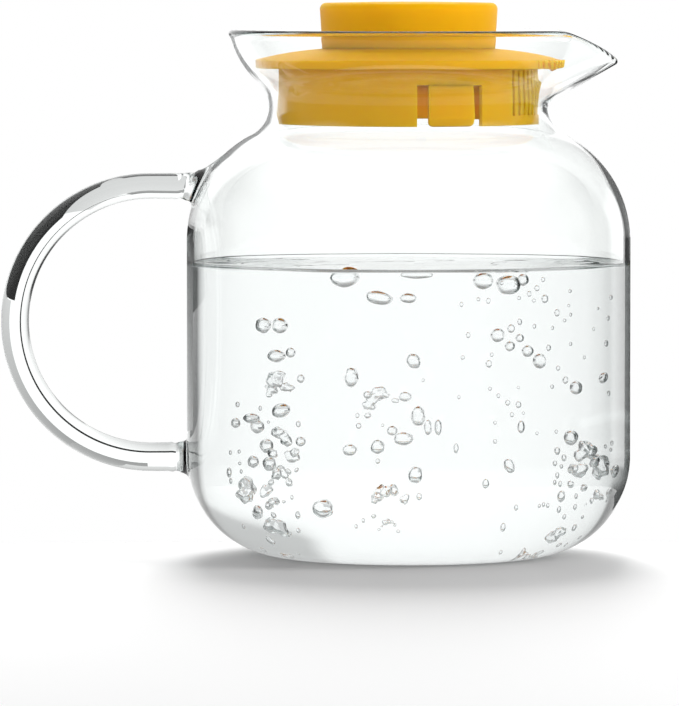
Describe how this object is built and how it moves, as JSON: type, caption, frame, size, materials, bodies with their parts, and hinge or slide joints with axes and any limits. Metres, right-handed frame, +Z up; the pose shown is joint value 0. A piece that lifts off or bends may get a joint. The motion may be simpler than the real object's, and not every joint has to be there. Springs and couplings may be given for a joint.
{
  "type": "glass pitcher",
  "caption": "Round-shouldered clear glass jug with a pulled spout, a rod loop handle and a turning strainer lid that lifts out of its flared neck.",
  "frame": {"origin": "centre of the ring that the jug stands on, on the table", "axes": "+Z up along the jug's axis, +X towards the spout, handle at -X"},
  "size_m": [0.1985, 0.14, 0.1748],
  "materials": {
    "clear_glass": "polished",
    "lid_plastic": "satin"
  },
  "bodies": {
    "jug": {"glass_base": "clear_glass", "glass_wall": "clear_glass", "glass_shoulder": "clear_glass", "glass_neck": "clear_glass", "pouring_mouth": "clear_glass", "handle": "clear_glass", "handle_upper_foot": "clear_glass", "handle_lower_foot": "clear_glass"},
    "plug": {"knob_plug": "lid_plastic"},
    "lid": {"lid_base": "lid_plastic", "knob": "lid_plastic"},
    "tongue_front": {"snap_tongue_front": "lid_plastic"},
    "tongue_rear": {"snap_tongue_rear": "lid_plastic"},
    "tongue_left": {"snap_tongue_left": "lid_plastic"}
  },
  "joints": [
    {"name": "lid_lift", "type": "slide", "parent": "jug", "child": "plug", "axis": [0, 0, 1], "range_m": [0, 0.06]},
    {"name": "lid_turn", "type": "hinge", "parent": "plug", "child": "lid", "pos_m": [0, 0, 0.16], "axis": [0, 0, 1], "continuous": true},
    {"name": "tongue_front_flex", "type": "hinge", "parent": "lid", "child": "tongue_front", "pos_m": [0.01239, -0.03814, 0.15014], "axis": [0.9511, 0.309, 0], "range_deg": [0, 4], "stiffness_Nm_per_rad": 1},
    {"name": "tongue_rear_flex", "type": "hinge", "parent": "lid", "child": "tongue_rear", "pos_m": [0.02683, 0.0298, 0.15014], "axis": [-0.7431, 0.6691, 0], "range_deg": [0, 4], "stiffness_Nm_per_rad": 1},
    {"name": "tongue_left_flex", "type": "hinge", "parent": "lid", "child": "tongue_left", "pos_m": [-0.03922, 0.00834, 0.15014], "axis": [-0.2079, -0.9781, 0], "range_deg": [0, 4], "stiffness_Nm_per_rad": 1}
  ]
}
